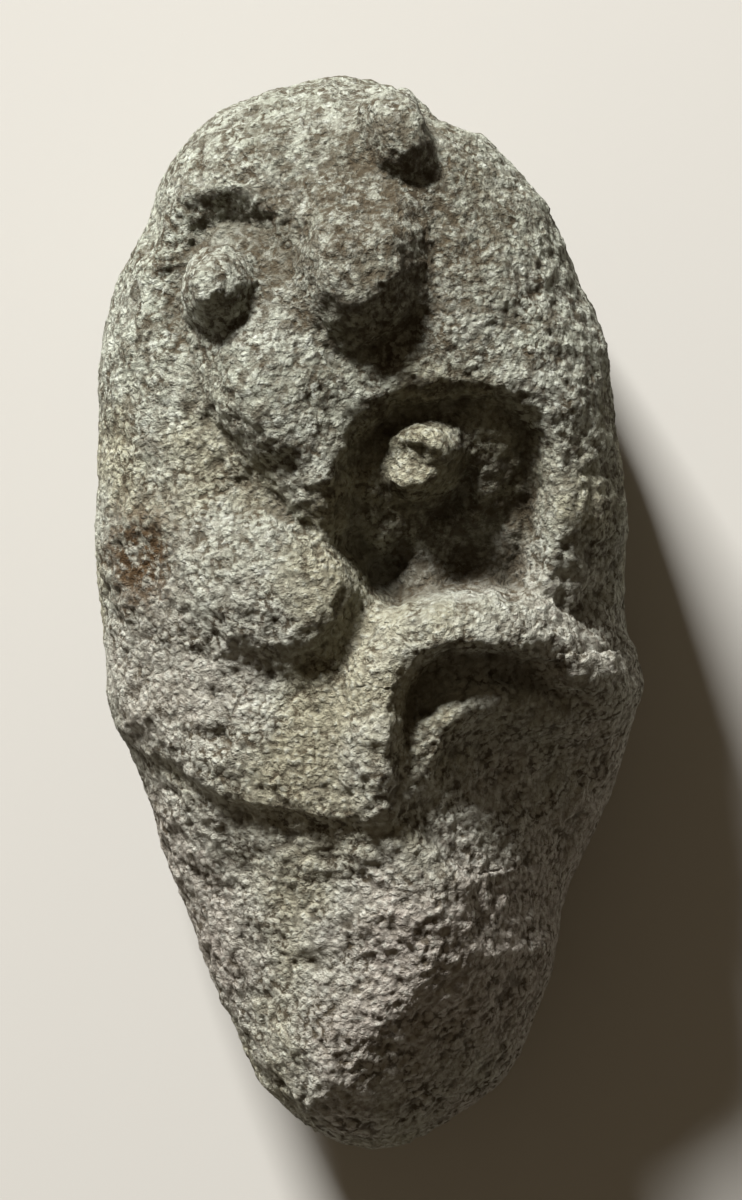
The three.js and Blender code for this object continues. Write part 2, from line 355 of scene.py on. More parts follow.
@dataclass(frozen=True)
class Boulder:
    """The plain stone before carving, in millimetres: its outline from the front and its sections."""

    rim_height: float = 66.0
    head_end: Point2 = (-15, 225)
    foot_end: Point2 = (6, -225)
    left_edge: tuple[Point2, ...] = (
        (-57, 211), (-83, 186), (-95, 156), (-106, 133), (-112, 92), (-111.5, 40),
        (-110, -5), (-104.5, -40), (-91, -79), (-75, -126), (-58, -167), (-38, -205),
    )
    right_edge: tuple[Point2, ...] = (
        (18, 217.5), (33, 204), (55, 192), (79, 158), (99, 108), (105.5, 48),
        (108.5, -4), (112, -36), (103.5, -79), (86, -118), (75, -158), (53, -199),
    )
    front_swell: Table = (
        (0, 0.9), (0.12, 0.97), (0.2, 0.92), (0.3, 0.83), (0.45, 0.76), (0.6, 0.77), (0.69, 0.86),
        (0.77, 0.97), (0.85, 1.02), (0.92, 1), (1, 1.05),
    )
    back_swell: Table = ((0, 0.75), (0.2, 0.68), (0.5, 0.64), (0.8, 0.68), (1, 0.75))
    left_squareness: Table = (
        (0, 2.4), (0.15, 2.9), (0.5, 2.9), (0.62, 2.3), (0.75, 1.7), (0.9, 1.7), (1, 2),
    )
    right_squareness: Table = (
        (0, 2.4), (0.15, 3.3), (0.3, 3.8), (0.47, 4.2), (0.56, 2.2), (0.65, 1.6), (0.9, 1.7), (1, 2),
    )
    keel_lean: Table = (
        (0, 0), (0.45, 0), (0.58, 0.05), (0.69, 0.08), (0.75, 0.26), (0.81, 0.25),
        (0.865, -0.08), (0.92, -0.35), (1, -0.25),
    )
    keel_reach: float = 0.7
    slope_step: float = 0.002

    def edges(self, place: Array) -> tuple[Array, Array]:
        """Read the outline on both sides.

        Args:
            place: 0 at the head to 1 at the foot.

        Returns:
            The left and the right edge points.
        """
        ring = [self.head_end, *self.left_edge, self.foot_end, *self.right_edge[::-1]]
        reach = len(ring) / 2
        flat = place.ravel()
        left = closed_spline(ring, reach * flat)
        right = closed_spline(ring, 2 * reach - reach * flat)
        return left.reshape(*place.shape, 2), right.reshape(*place.shape, 2)

    def points(self, turn: Array, place: Array) -> Array:
        """Points of the surface.

        Args:
            turn: 0 to 0.5 crosses the front from left to right, 0.5 to 1 the back.
            place: 0 at the head to 1 at the foot.

        Returns:
            X, Y and Z in the last axis.
        """
        left, right = self.edges(place)
        angle = math.pi * (1 - 2 * turn)
        front = np.sin(angle) > 0
        square = np.where(
            np.cos(angle) < 0, along(self.left_squareness, place), along(self.right_squareness, place)
        )
        keel = np.where(front, smooth(0, self.keel_reach, np.abs(np.sin(angle))), 0)
        power = 2 / (np.maximum(square, 2) + np.minimum(square - 2, 0) * keel)
        rise = np.abs(np.sin(angle)) ** power
        lean = np.where(front, along(self.keel_lean, place) * rise * rise, 0)
        across = np.sign(np.cos(angle)) * np.abs(np.cos(angle)) ** power + lean
        swell = np.where(front, along(self.front_swell, place), -along(self.back_swell, place))
        half = np.linalg.norm(right - left, axis=-1) / 2
        points = np.empty(place.shape + (3,))
        points[..., :2] = (left + right) / 2 + (right - left) / 2 * across[..., None]
        points[..., 2] = self.rim_height + half * swell * rise
        return points

    def normals(self, turn: Array, place: Array) -> Array:
        """Find outward unit normals.

        Args:
            turn: as for the points.
            place: as for the points.

        Returns:
            X, Y and Z in the last axis.
        """
        step = self.slope_step
        after, before = np.mod(turn + step, 1), np.mod(turn - step, 1)
        lower, upper = np.minimum(place + step, 1), np.maximum(place - step, 0)
        around = self.points(after, place) - self.points(before, place)
        down = self.points(turn, lower) - self.points(turn, upper)
        normal = np.cross(down, around)
        return normal / np.maximum(np.linalg.norm(normal, axis=-1, keepdims=True), TINY)


@dataclass(frozen=True)
class Carving:
    """Everything pecked into the front, as heights over the plain stone, in millimetres."""

    head: Oval = Oval(-5.5, 122, 66, 100, 28, 2.2)
    head_rise: float = 12.0
    head_edge: Point2 = (0.7, 1.08)
    head_soft_reach: float = 45.0
    head_soft_edge: Point2 = (0.1, 0.6)
    head_soft_end: Point2 = (30, 80)
    head_groove: Point3 = (2.2, 1.07, 0.06)
    head_notch: Point3 = (37, 198, 13)
    hollow_left: Oval = Oval(36, 44, 52, 48, 0, 2.6)
    hollow_right: Oval = Oval(36, 44, 40, 48, 0, 2.7)
    hollow_edge: float = 1.04
    hollow_depth: Table = ((0, 20), (45, 24), (92, 12))
    hollow_softness: Table = ((-14, 0.72), (26, 0.84), (40, 0.86), (60, 0.88), (75, 0.88))
    palm_left: Point2 = (8, 17)
    palm_right: Point2 = (84, 112)
    palm_fall: Table = ((-150, 0), (-95, -6), (-60, -6), (-34, -5), (-20, -2), (-12, 0))
    palm_shift: Table = ((-110, 34), (-84, 0))
    right_eye_mound: Knob = Knob(Oval(8, 189, 16, 14), 5, 1.2)
    left_eye: Knob = Knob(Oval(-60, 132, 17, 18), 11, 0.7)
    left_cheek: Knob = Knob(Oval(-36, 88, 27, 32), 8, 1.2)
    chest_bulge: Knob = Knob(Oval(-40, 18, 38, 36), 6, 1.2)
    mouth: Knob = Knob(Oval(24.5, 61, 18, 18.5), 25, 0.9)
    mouth_pit: Knob = Knob(Oval(19, 61, 12.5, 10), -12, 1.2)
    mouth_lip: Knob = Knob(Oval(19, 54, 12, 7), 5, 1.0)
    mouth_wear: Knob = Knob(Oval(33, 52, 15, 15), -8, 1.0)
    mouth_nick: Knob = Knob(Oval(15, 67, 7, 3.5, 25), -4, 0.8)
    mouth_crack: Knob = Knob(Oval(24, 66, 6, 3, -30), -3, 0.8)
    right_shoulder: Knob = Knob(Oval(92, 50, 30, 62), 2, 1.2)
    right_elbow: Knob = Knob(Oval(92, -28, 26, 30), 8, 1.2)
    right_flank: Knob = Knob(Oval(66, -92, 48, 50), -8, 1.2)
    forearm_pit: Knob = Knob(Oval(-58, -50, 10, 8), -3, 1.5)
    shoulder_dip: Knob = Knob(Oval(-89, 23, 16, 17), -3.5, 1.2)
    crown_pit: Knob = Knob(Oval(8, 209, 6.5, 5), -3, 1.5)
    left_eye_edge: Wedge = Wedge(-58.5, 128, -66, 18, 16, 16.5, 8, 0.2)
    right_eye: Wedge = Wedge(15, 184, -63, 34, 13, 12, 16, 0.5)
    nose: Wedge = Wedge(-2, 138, -94, 46, 38, 30, 24, 0.35)
    left_socket: Band = Band(
        (
            (-31, 142, 0), (-39, 154, -10), (-52, 161, -15), (-67, 158, -14),
            (-78, 144, -10), (-81, 126, -7), (-76, 106, 0),
        ),
        20, 9,
    )
    nose_groove: Band = Band(((-27, 170, 0), (-28, 146, -3), (-20, 120, -3), (-8, 100, 0)), 7, 7)
    jaw_groove: Band = Band(
        ((-68, 54, 0), (-51, 47, -3), (-30, 37, -4), (-8, 25, -4), (4, 16, 0)), 11, 11, 1.2,
    )
    jaw: Band = Band(((-58, 104, 0), (-44, 76, 5), (-28, 55, 5), (-6, 40, 0)), 25, 25, 1.5)
    chest: Band = Band(
        (
            (-102, 14, 0), (-76, 5, 3), (-54, -6, 7), (-33, -9, 9),
            (-19, 0, 9), (-11, 17, 7), (0, 33, 0),
        ),
        52, 27,
    )
    chest_groove: Band = Band(
        (
            (-74, -8, 0), (-51, -18, -2), (-31, -25, -2), (-14, -22, -3),
            (-5, -8, -5), (3, 6, -8), (12, 18, -9), (24, 30, 0),
        ),
        12, 12, 1.2,
    )
    forearms: Band = Band(
        (
            (-104, -50, 0), (-79, -60, 3), (-52, -73, 4), (-24, -79, 4),
            (0, -81, 4), (14, -80, 2), (24, -78, 0),
        ),
        40, 5.5, 0.7,
    )
    hand_arch: Band = Band(
        (
            (14, -88, 0), (10, -56, 8), (11, -34, 13), (24, -15, 15),
            (49, -9, 15), (68, -15, 13), (81, -26, 9), (90, -42, 0),
        ),
        21, 8, 0.8,
    )
    inner_hand: Band = Band(
        ((22, -64, 0), (30, -48, 6), (43, -38, 8), (58, -37, 8), (74, -44, 6), (92, -56, 0)), 10, 14,
    )
    right_arm_groove: Band = Band(
        ((97, 90, 0), (98, 47, -2), (97, 18, -3), (92, 4, -4), (86, -8, -3), (86, -20, 0)), 8, 8,
    )
    arch_full: float = 11.0
    pecked_wave: Wave = Wave(0.9, 9.4, 11, 15, 12.7, 1.2)
    reach_x: float = 140.0
    reach_y: float = 250.0
    grid_step: float = 1.0

    def head_height(self, x: Array, y: Array) -> Array:
        """Read the tilted oval of the head, soft on its right, with a groove round the rest of it.

        Args:
            x: places across, in millimetres.
            y: places towards the head, in millimetres.

        Returns:
            Heights over the plain stone, in millimetres.
        """
        radius = self.head.radius(x, y)
        across, up = self.head.axes(x, y)
        soft = smooth(0, self.head_soft_reach, across) * (1 - smooth(*self.head_soft_end, up))
        inner = self.head_edge[0] - self.head_soft_edge[0] * soft
        outer = self.head_edge[1] + self.head_soft_edge[1] * soft
        notch_x, notch_y, notch_radius = self.head_notch
        depth, place, width = self.head_groove
        notch = np.exp(-((x - notch_x) ** 2 + (y - notch_y) ** 2) / notch_radius**2)
        groove = np.exp(-(((radius - place) / width) ** 2))
        return self.head_rise * (1 - smooth(inner, outer, radius)) - depth * (notch + 1 - soft) * groove

    def hollow_height(self, x: Array, y: Array) -> Array:
        """Read the hollow of the lower face, which sinks from its ledge to the neck.

        Args:
            x: places across, in millimetres.
            y: places towards the head, in millimetres.

        Returns:
            Heights over the plain stone, in millimetres.
        """
        left, right = self.hollow_left.radius(x, y), self.hollow_right.radius(x, y)
        radius = np.where(x < self.hollow_left.x, left, right)
        opened = 1 - smooth(along(self.hollow_softness, x), self.hollow_edge, radius)
        return -along(self.hollow_depth, y) * opened

    def palm_height(self, x: Array, y: Array) -> Array:
        """The slope that falls away under the arched hand, towards the legs."""
        inside = smooth(*self.palm_left, x - along(self.palm_shift, y)) * (1 - smooth(*self.palm_right, x))
        return along(self.palm_fall, y) * inside

    def forms(self) -> list[Knob | Wedge | Band | Wave]:
        """Every carved form that has a height of its own."""
        return [part for part in vars(self).values() if isinstance(part, (Knob, Wedge, Band, Wave))]

    def field(self) -> HeightField:
        """Lay the whole carving on a grid.

        Returns:
            The field of heights.
        """
        across = np.arange(-self.reach_x, self.reach_x + self.grid_step, self.grid_step)
        up = np.arange(-self.reach_y, self.reach_y + self.grid_step, self.grid_step)
        x, y = np.meshgrid(across, up)
        beside = 1 - np.clip(self.hand_arch.height(x, y) / self.arch_full, 0, 1)
        total = self.head_height(x, y) + self.hollow_height(x, y) * beside + self.palm_height(x, y)
        for form in self.forms():
            total = total + form.height(x, y)
        return HeightField(-self.reach_x, -self.reach_y, self.grid_step, total)


@dataclass(frozen=True)
class PeckMarks:
    """The marks a hammer stone leaves, laid over the surface by a node tree; sizes in millimetres."""

    mark_size: float = 4.6
    mark_depth: float = 1.3
    chip_size: float = 2.8
    chip_depth: float = 1.1
    clump_size: float = 8.5
    clump_depth: float = 7.0
    wander: float = 2.4
    wander_size: float = 4.0
    wander_detail: float = 2.0
    clump_detail: float = 4.0
    cloud_middle: float = 0.5
    cell_middle: float = 0.45
    seed: int = 7

    def tree(self) -> bpy.types.NodeTree:
        """Build the node tree that pecks a mesh along its normals.

        Returns:
            The tree. Its inputs are the sizes, the seed and the stone's material.
        """
        tree = bpy.data.node_groups.new("peck_marks", "GeometryNodeTree")
        face = tree.interface
        face.new_socket("Geometry", in_out="INPUT", socket_type="NodeSocketGeometry")
        for name in self.sizes():
            face.new_socket(name, in_out="INPUT", socket_type="NodeSocketFloat")
        face.new_socket("Seed", in_out="INPUT", socket_type="NodeSocketInt")
        face.new_socket("Stone", in_out="INPUT", socket_type="NodeSocketMaterial")
        face.new_socket("Geometry", in_out="OUTPUT", socket_type="NodeSocketGeometry")
        given = add_node(tree, "NodeGroupInput").outputs
        place = add_node(tree, "GeometryNodeInputPosition").outputs[0]

        def reckon(kind: str, first: Any, second: Any) -> bpy.types.NodeSocket:
            """One step of arithmetic on two numbers."""
            return add_node(tree, "ShaderNodeMath", {0: first, 1: second}, operation=kind).outputs[0]

        def cloud(size: Any, detail: float) -> Any:
            """Cloudy noise, as a value and a colour, with patches of the given size."""
            scale = reckon("DIVIDE", 1.0, size)
            values = {"Vector": place, "W": given["Seed"], "Scale": scale, "Detail": detail}
            return add_node(tree, "ShaderNodeTexNoise", values, noise_dimensions="4D").outputs

        drift = cloud(given["Wander Size"], self.wander_detail)["Color"]
        shift = add_node(
            tree, "ShaderNodeVectorMath", {0: drift, "Scale": given["Wander"]}, operation="SCALE"
        ).outputs[0]
        bent = add_node(tree, "ShaderNodeVectorMath", {0: place, 1: shift}, operation="ADD").outputs[0]
        clumps = reckon("SUBTRACT", cloud(given["Clump Size"], self.clump_detail)[0], self.cloud_middle)
        height = reckon("MULTIPLY", clumps, given["Clump Depth"])
        for name in ("Mark", "Chip"):
            cells = add_node(
                tree,
                "ShaderNodeTexVoronoi",
                {"Vector": bent, "W": given["Seed"], "Scale": reckon("DIVIDE", 1.0, given[f"{name} Size"])},
                voronoi_dimensions="4D",
            ).outputs["Distance"]
            dent = reckon("MULTIPLY", reckon("SUBTRACT", cells, self.cell_middle), given[f"{name} Depth"])
            height = reckon("ADD", height, dent)
        share = add_node(
            tree, "GeometryNodeInputNamedAttribute", {"Name": "peck_share"}, data_type="FLOAT"
        ).outputs["Attribute"]
        shared = reckon("MULTIPLY", height, share)
        normal = add_node(tree, "GeometryNodeInputNormal").outputs[0]
        offset = add_node(
            tree, "ShaderNodeVectorMath", {0: normal, "Scale": shared}, operation="SCALE"
        ).outputs[0]
        depth = reckon("DIVIDE", shared, given["Clump Depth"])
        marked = add_node(
            tree,
            "GeometryNodeStoreNamedAttribute",
            {"Geometry": given["Geometry"], "Name": "peck", "Value": depth},
            data_type="FLOAT",
            domain="POINT",
        ).outputs[0]
        moved = {"Geometry": marked, "Offset": offset}
        pecked = add_node(tree, "GeometryNodeSetPosition", moved).outputs[0]
        real = add_node(tree, "GeometryNodeRealizeInstances", {"Geometry": pecked}).outputs[0]
        dressed = add_node(
            tree, "GeometryNodeSetMaterial", {"Geometry": real, "Material": given["Stone"]}
        ).outputs[0]
        add_node(tree, "NodeGroupOutput", {"Geometry": dressed})
        return tree

    def sizes(self) -> dict[str, float]:
        """The tree's named sizes, in metres."""
        return {
            "Mark Size": self.mark_size * MM,
            "Mark Depth": self.mark_depth * MM,
            "Chip Size": self.chip_size * MM,
            "Chip Depth": self.chip_depth * MM,
            "Clump Size": self.clump_size * MM,
            "Clump Depth": self.clump_depth * MM,
            "Wander": self.wander * MM,
            "Wander Size": self.wander_size * MM,
        }

    def apply(self, stone: bpy.types.Object, material: bpy.types.Material) -> None:
        """Add the tree to an object as a modifier, with every input set.

        Args:
            stone: the object whose surface is pecked.
            material: the finish that the tree lays on it.
        """
        tree = self.tree()
        modifier = stone.modifiers.new("peck_marks", "NODES")
        modifier.node_group = tree
        values = {**self.sizes(), "Seed": self.seed, "Stone": material}
        for item in tree.interface.items_tree:
            if item.in_out == "INPUT" and item.name in values:
                modifier[item.identifier] = values[item.name]


class Tint(Enum):
    """Colours of the stone's minerals, dust and stains, of its painted shade, and of the studio."""

    DARK_GRAIN = 0x6E6A5E
    MATRIX = 0x9FA191
    PALE_MATRIX = 0xB4B6A7
    PALE_GRAIN = 0xCCCFC3
    MAUVE = 0xAEA399
    OCHRE = 0x9C9474
    # Soil brown, also used as painted shade in the pits, the recesses, the hollow, and on the brow and
    # head.
    SOIL_AND_SHADE = 0x4B4130
    DUST = 0xCFD2C5
    RUST = 0x4D3A22
    FLOOR = 0xB8B5AE
    ROOM_LIGHT = 0xFFE6C2


@dataclass(frozen=True)
class Cloud:
    """Cloudy noise: the size of its patches in millimetres, its finer layers and their strength."""

    size: float
    detail: float
    rough: float = 0.55

    def on(
        self, tree: bpy.types.NodeTree, place: bpy.types.NodeSocket, output: int | str = 0
    ) -> bpy.types.NodeSocket:
        """Add the noise to a tree.

        Args:
            tree: the tree that gets it.
            place: where it is read.
            output: the noise's value, or its "Color".

        Returns:
            The socket that gives it out.
        """
        scale = 1 / (self.size * MM)
        values = {"Vector": place, "Scale": scale, "Detail": self.detail, "Roughness": self.rough}
        return add_node(tree, "ShaderNodeTexNoise", values).outputs[output]


@dataclass(frozen=True)
class Ramp:
    """A range of a pattern's values, and what is given out at its two ends."""

    low: float
    high: float
    start: float = 0.0
    end: float = 1.0

    def on(self, tree: bpy.types.NodeTree, value: bpy.types.NodeSocket) -> bpy.types.NodeSocket:
        """Stretch a pattern over the ramp, held at its ends.

        Args:
            tree: the tree that gets the node.
            value: the pattern.

        Returns:
            The stretched pattern.
        """
        ends = {"From Min": self.low, "From Max": self.high, "To Min": self.start, "To Max": self.end}
        return add_node(
            tree, "ShaderNodeMapRange", {"Value": value, **ends}, interpolation_type="SMOOTHSTEP"
        ).outputs[0]


@dataclass(frozen=True)
class Stain:
    """A ragged patch of another colour: whole within its core, gone past its reach; in millimetres."""

    tint: Tint
    x: float
    y: float
    z: float
    core: float
    reach: float
    spot: float
    share: float
    detail: float = 4.0
    rough: float = 0.75
    ragged_share: float = 2.0
    spots: Ramp = Ramp(0.58, 0.42, 0.3, 1.0)

    def shares(
        self, tree: bpy.types.NodeTree, place: bpy.types.NodeSocket
    ) -> tuple[bpy.types.NodeSocket, ...]:
        """Add the stain's pattern to a tree.

        Args:
            tree: the tree that gets it.
            place: where it is read.

        Returns:
            Two shares to be multiplied: nearness to the stain, and its spots.
        """
        cloud = Cloud(self.spot, self.detail, self.rough).on(tree, place)
        centre = (self.x * MM, self.y * MM, self.z * MM)
        away = add_node(tree, "ShaderNodeVectorMath", {0: place, 1: centre}, operation="DISTANCE")
        sizes = {0: cloud, 1: self.ragged_share * self.spot * MM, 2: away.outputs["Value"]}
        ragged = add_node(tree, "ShaderNodeMath", sizes, operation="MULTIPLY_ADD").outputs[0]
        near = Ramp(self.reach * MM, self.core * MM, 0.0, self.share).on(tree, ragged)
        return near, self.spots.on(tree, cloud)


@dataclass(frozen=True)
class PeckedStone:
    """Dense volcanic stone, pecked all over with a hammer stone and never polished."""

    grain_size: float = 2.4
    dark_grain: Ramp = Ramp(0.12, 0.0, 0.0, 0.7)
    pale_grain: Ramp = Ramp(0.8, 1.0, 0.0, 0.6)
    mottle: Cloud = Cloud(34.0, 5.0, 0.65)
    pale_mottle: Ramp = Ramp(0.35, 0.65)
    tint: Cloud = Cloud(105.0, 3.0)
    mauve: Ramp = Ramp(0.4, 0.6, 0.4, 1.0)
    mauve_height: Ramp = Ramp(0.13, -0.15, 0.0, 0.75)
    ochre: Ramp = Ramp(0.48, 0.34, 0.0, 0.55)
    crumb: Cloud = Cloud(2.3, 4.0, 0.7)
    crumb_warp: Cloud = Cloud(2.3, 2.0, 0.5)
    pebble_size: float = 3.1
    pebble_warp: float = 2.2
    pebble_round: Ramp = Ramp(0.05, 0.85, 1.0, 0.0)
    pebble_share: float = 0.28
    fine_depth: float = 6.0
    dust: Ramp = Ramp(0.52, 0.7, 0.0, 0.4)
    # Soil brown in the low spots of the fine grain, in patches: partly soil, partly painted shade.
    pit: Ramp = Ramp(0.5, 0.34)
    pit_patch: Cloud = Cloud(15.0, 3.0, 0.6)
    pit_share: Ramp = Ramp(0.38, 0.62, 0.3, 0.95)
    # Soil brown in the low spots of the peck marks: partly soil, partly painted shade.
    peck_soil_and_shade: Ramp = Ramp(-0.02, -0.14, 0.0, 0.6)
    # Patchy darkening that grows towards the head: painted shade, with some dark patches of the stone.
    grime_and_shade_patch: Cloud = Cloud(8.0, 4.0, 0.75)
    grime_and_shade: Ramp = Ramp(0.56, 0.36)
    head_painted_shade: Ramp = Ramp(-0.02, 0.11, 0.2, 0.8)
    # Soil brown in sheltered recesses: partly soil, partly painted shade.
    shelter_soil_and_shade: Ramp = Ramp(0.15, 0.9, 0.0, 0.55)
    # Painted shade on the brow and nose, with some dark patches of the stone.
    brow_shade_and_patches: Stain = Stain(Tint.SOIL_AND_SHADE, 6, 156, 150, 25, 80, 6, 0.95)
    # Painted shade in the lower face's hollow, with some soil.
    hollow_shade_and_soil: Stain = Stain(Tint.SOIL_AND_SHADE, 42, 40, 105, 38, 68, 9, 0.8)
    rust: Stain = Stain(Tint.RUST, -88.5, 23.5, 122, 16, 44, 7, 1.0)
    roughness: float = 0.92
    specular: float = 0.22
    ior: float = 1.52

    def crumbs(self, tree: bpy.types.NodeTree, place: bpy.types.NodeSocket) -> bpy.types.NodeSocket:
        """Add the broken grain of the surface: cloudy noise with rounded pebbles in it.

        Args:
            tree: the tree that gets it.
            place: where it is read.

        Returns:
            Heights of about 0 to 1.
        """
        warp = self.crumb_warp.on(tree, place, "Color")
        strength = (self.pebble_warp * MM,) * 3
        bent = add_node(
            tree, "ShaderNodeVectorMath", {0: warp, 1: strength, 2: place}, operation="MULTIPLY_ADD"
        ).outputs[0]
        pebbles = add_node(
            tree, "ShaderNodeTexVoronoi", {"Vector": bent, "Scale": 1 / (self.pebble_size * MM)}
        ).outputs["Distance"]
        rounded = self.pebble_round.on(tree, pebbles)
        parts = {0: self.pebble_share, 2: self.crumb.on(tree, place), 3: rounded}
        return add_node(tree, "ShaderNodeMix", parts, data_type="FLOAT").outputs[0]

    def material(self) -> bpy.types.Material:
        """Build the material.

        Dull broken crystals give the eye a dry grey-beige without shine, pale where blows bruised the high
        points, with one rusty patch. Soil brown darkens the pits and sheltered recesses, partly as soil and
        partly as painted shade. It darkens the lower face's hollow as painted shade with some soil, and the
        brow, nose and head as painted shade with some dark patches.

        Returns:
            The material.
        """
        material = bpy.data.materials.new("pecked_volcanic_stone")
        material.use_nodes = True
        tree = material.node_tree
        tree.nodes.clear()
        place = add_node(tree, "ShaderNodeTexCoord").outputs["Object"]
        height = add_node(tree, "ShaderNodeSeparateXYZ", {0: place}).outputs["Y"]
        peck = add_node(tree, "ShaderNodeAttribute", attribute_name="peck").outputs["Fac"]
        shelter = add_node(tree, "ShaderNodeAttribute", attribute_name="shelter").outputs["Fac"]
        cells = add_node(
            tree, "ShaderNodeTexVoronoi", {"Vector": place, "Scale": 1 / (self.grain_size * MM)}
        ).outputs["Color"]
        grain = add_node(tree, "ShaderNodeSeparateColor", {0: cells}).outputs[0]
        mottle = self.mottle.on(tree, place)
        tints = self.tint.on(tree, place)
        crumbs = self.crumbs(tree, place)
        pit_patch = self.pit_patch.on(tree, place)
        grime_and_shade_patch = self.grime_and_shade_patch.on(tree, place)

        # Each layer is laid over those before it, by the product of its shares.
        layers = [
            ((self.pale_mottle.on(tree, mottle),), Tint.PALE_MATRIX),
            ((self.dark_grain.on(tree, grain),), Tint.DARK_GRAIN),
            ((self.pale_grain.on(tree, grain),), Tint.PALE_GRAIN),
            ((self.mauve.on(tree, tints), self.mauve_height.on(tree, height)), Tint.MAUVE),
            ((self.ochre.on(tree, tints),), Tint.OCHRE),
            ((self.dust.on(tree, crumbs),), Tint.DUST),
            # Pits: soil brown in the grain's low spots, partly soil and partly painted shade.
            ((self.pit.on(tree, crumbs), self.pit_share.on(tree, pit_patch)), Tint.SOIL_AND_SHADE),
            # Low spots of the peck marks: partly soil, partly painted shade.
            ((self.peck_soil_and_shade.on(tree, peck),), Tint.SOIL_AND_SHADE),
            # Painted shade growing towards the head, in patches, with some dark patches of the stone.
            ((self.grime_and_shade.on(tree, grime_and_shade_patch), self.head_painted_shade.on(tree, height)), Tint.SOIL_AND_SHADE),
            # Sheltered recesses: partly soil, partly painted shade.
            ((self.shelter_soil_and_shade.on(tree, shelter),), Tint.SOIL_AND_SHADE),
        ]
        # The brow and hollow stains are painted shade, with some dark patches and soil; the rust is the
        # stone's own.
        for stain in (self.brow_shade_and_patches, self.hollow_shade_and_soil, self.rust):
            layers.append((stain.shares(tree, place), stain.tint))
        colour: Any = linear(Tint.MATRIX.value)
        for shares, tint in layers:
            share = shares[0]
            for other in shares[1:]:
                both = {0: share, 1: other}
                share = add_node(tree, "ShaderNodeMath", both, operation="MULTIPLY").outputs[0]
            mixed = {0: share, 6: colour, 7: linear(tint.value)}
            colour = add_node(tree, "ShaderNodeMix", mixed, data_type="RGBA", blend_type="MIX").outputs[2]
        bump = add_node(
            tree,
            "ShaderNodeBump",
            {"Strength": 1.0, "Distance": self.fine_depth * MM, "Height": crumbs},
        ).outputs[0]
        shader = add_node(
            tree,
            "ShaderNodeBsdfPrincipled",
            {
                "Base Color": colour, "Normal": bump, "Roughness": self.roughness,
                "IOR": self.ior, "Specular IOR Level": self.specular,
            },
        ).outputs[0]
        add_node(tree, "ShaderNodeOutputMaterial", {"Surface": shader})
        return material


@dataclass(frozen=True)
class FloorPaint:
    """Matt pale paint on the studio floor: even, without gloss."""

    roughness: float = 0.9

    def material(self) -> bpy.types.Material:
        """Build the material.

        Returns:
            The material.
        """
        material = bpy.data.materials.new("matt_floor_paint")
        material.use_nodes = True
        shader = material.node_tree.nodes["Principled BSDF"]
        shader.inputs["Base Color"].default_value = linear(Tint.FLOOR.value)
        shader.inputs["Roughness"].default_value = self.roughness
        return material


